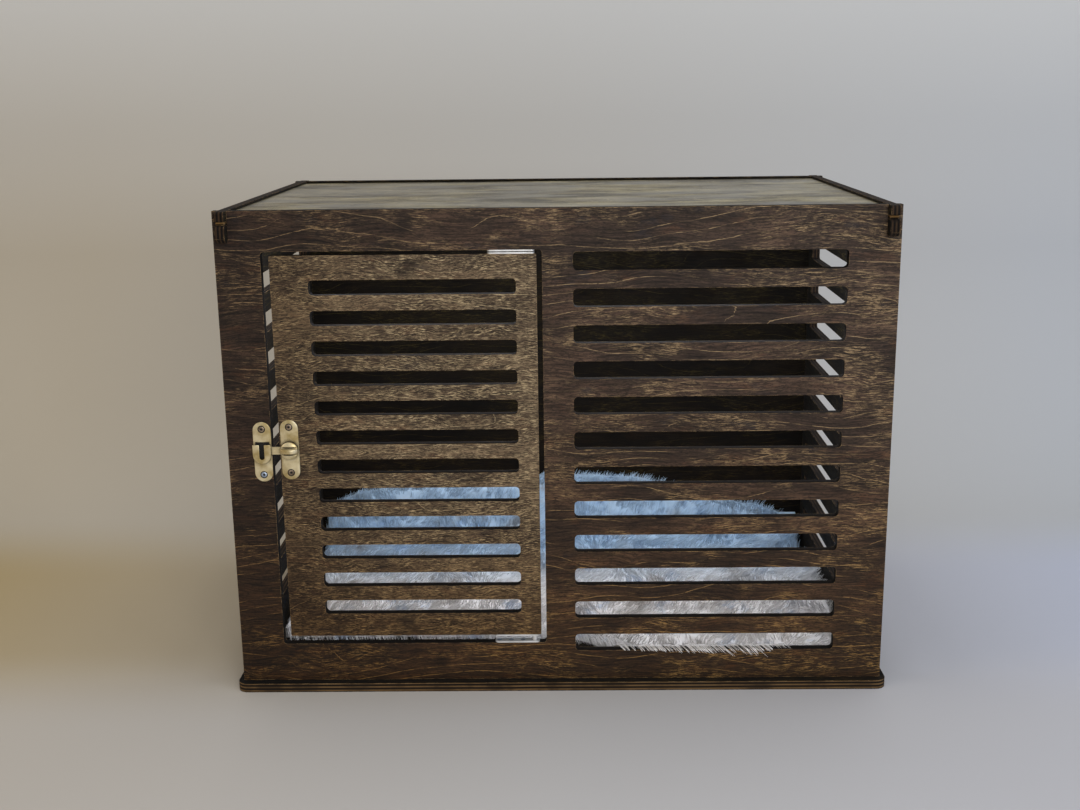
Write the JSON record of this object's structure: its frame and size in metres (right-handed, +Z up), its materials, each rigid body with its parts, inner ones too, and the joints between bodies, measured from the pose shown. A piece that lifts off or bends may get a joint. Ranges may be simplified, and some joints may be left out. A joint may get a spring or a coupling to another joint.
{
  "type": "dog crate end table",
  "caption": "Dark stained plywood dog crate end table with slotted walls, a slotted hinged door, a turn latch, split corner tabs and a shaggy mat.",
  "frame": {"origin": "centre of the object's box in plan, at the underside of the base", "axes": "+X runs to the right seen from the door side, the door faces -Y, +Z is up"},
  "size_m": [0.61, 0.3968, 0.45],
  "materials": {
    "dark_ply": "dark stain",
    "door_ply": "dark stain",
    "latch_brass": "satin",
    "hinge_nickel": "nickel plate",
    "screw_zinc": "zinc plate",
    "fur": "long pile"
  },
  "bodies": {
    "carcass": {"base_panel": "dark_ply", "front_panel": "dark_ply", "back_panel": "dark_ply", "side_panel_left": "dark_ply", "side_panel_right": "dark_ply", "top_panel": "dark_ply", "upper_hinge_frame_leaf": "hinge_nickel", "upper_hinge_pin": "hinge_nickel", "upper_hinge_frame_screw_1": "screw_zinc", "upper_hinge_frame_screw_2": "screw_zinc", "upper_hinge_frame_screw_3": "screw_zinc", "lower_hinge_frame_leaf": "hinge_nickel", "lower_hinge_pin": "hinge_nickel", "lower_hinge_frame_screw_1": "screw_zinc", "lower_hinge_frame_screw_2": "screw_zinc", "lower_hinge_frame_screw_3": "screw_zinc", "keeper_screw_lower": "screw_zinc", "keeper_screw_upper": "screw_zinc", "keeper_plate": "latch_brass", "floor_mat": "fur"},
    "door": {"door_panel": "door_ply", "latch_plate": "latch_brass", "upper_hinge_door_leaf": "hinge_nickel", "upper_hinge_door_screw_1": "screw_zinc", "upper_hinge_door_screw_2": "screw_zinc", "upper_hinge_door_screw_3": "screw_zinc", "lower_hinge_door_leaf": "hinge_nickel", "lower_hinge_door_screw_1": "screw_zinc", "lower_hinge_door_screw_2": "screw_zinc", "lower_hinge_door_screw_3": "screw_zinc", "latch_screw_lower": "screw_zinc", "latch_screw_upper": "screw_zinc"},
    "latch_turn": {"latch_spindle": "latch_brass", "latch_bar": "latch_brass", "latch_knob": "latch_brass"}
  },
  "joints": [
    {"name": "door_swing", "type": "hinge", "parent": "carcass", "child": "door", "pos_m": [-0.024, -0.18335, 0.225], "axis": [0, 0, 1], "range_deg": [0, 120]},
    {"name": "latch_knob_turn", "type": "hinge", "parent": "door", "child": "latch_turn", "pos_m": [-0.2435, -0.1876, 0.2345], "axis": [0, 1, 0], "range_deg": [0, 180]}
  ]
}
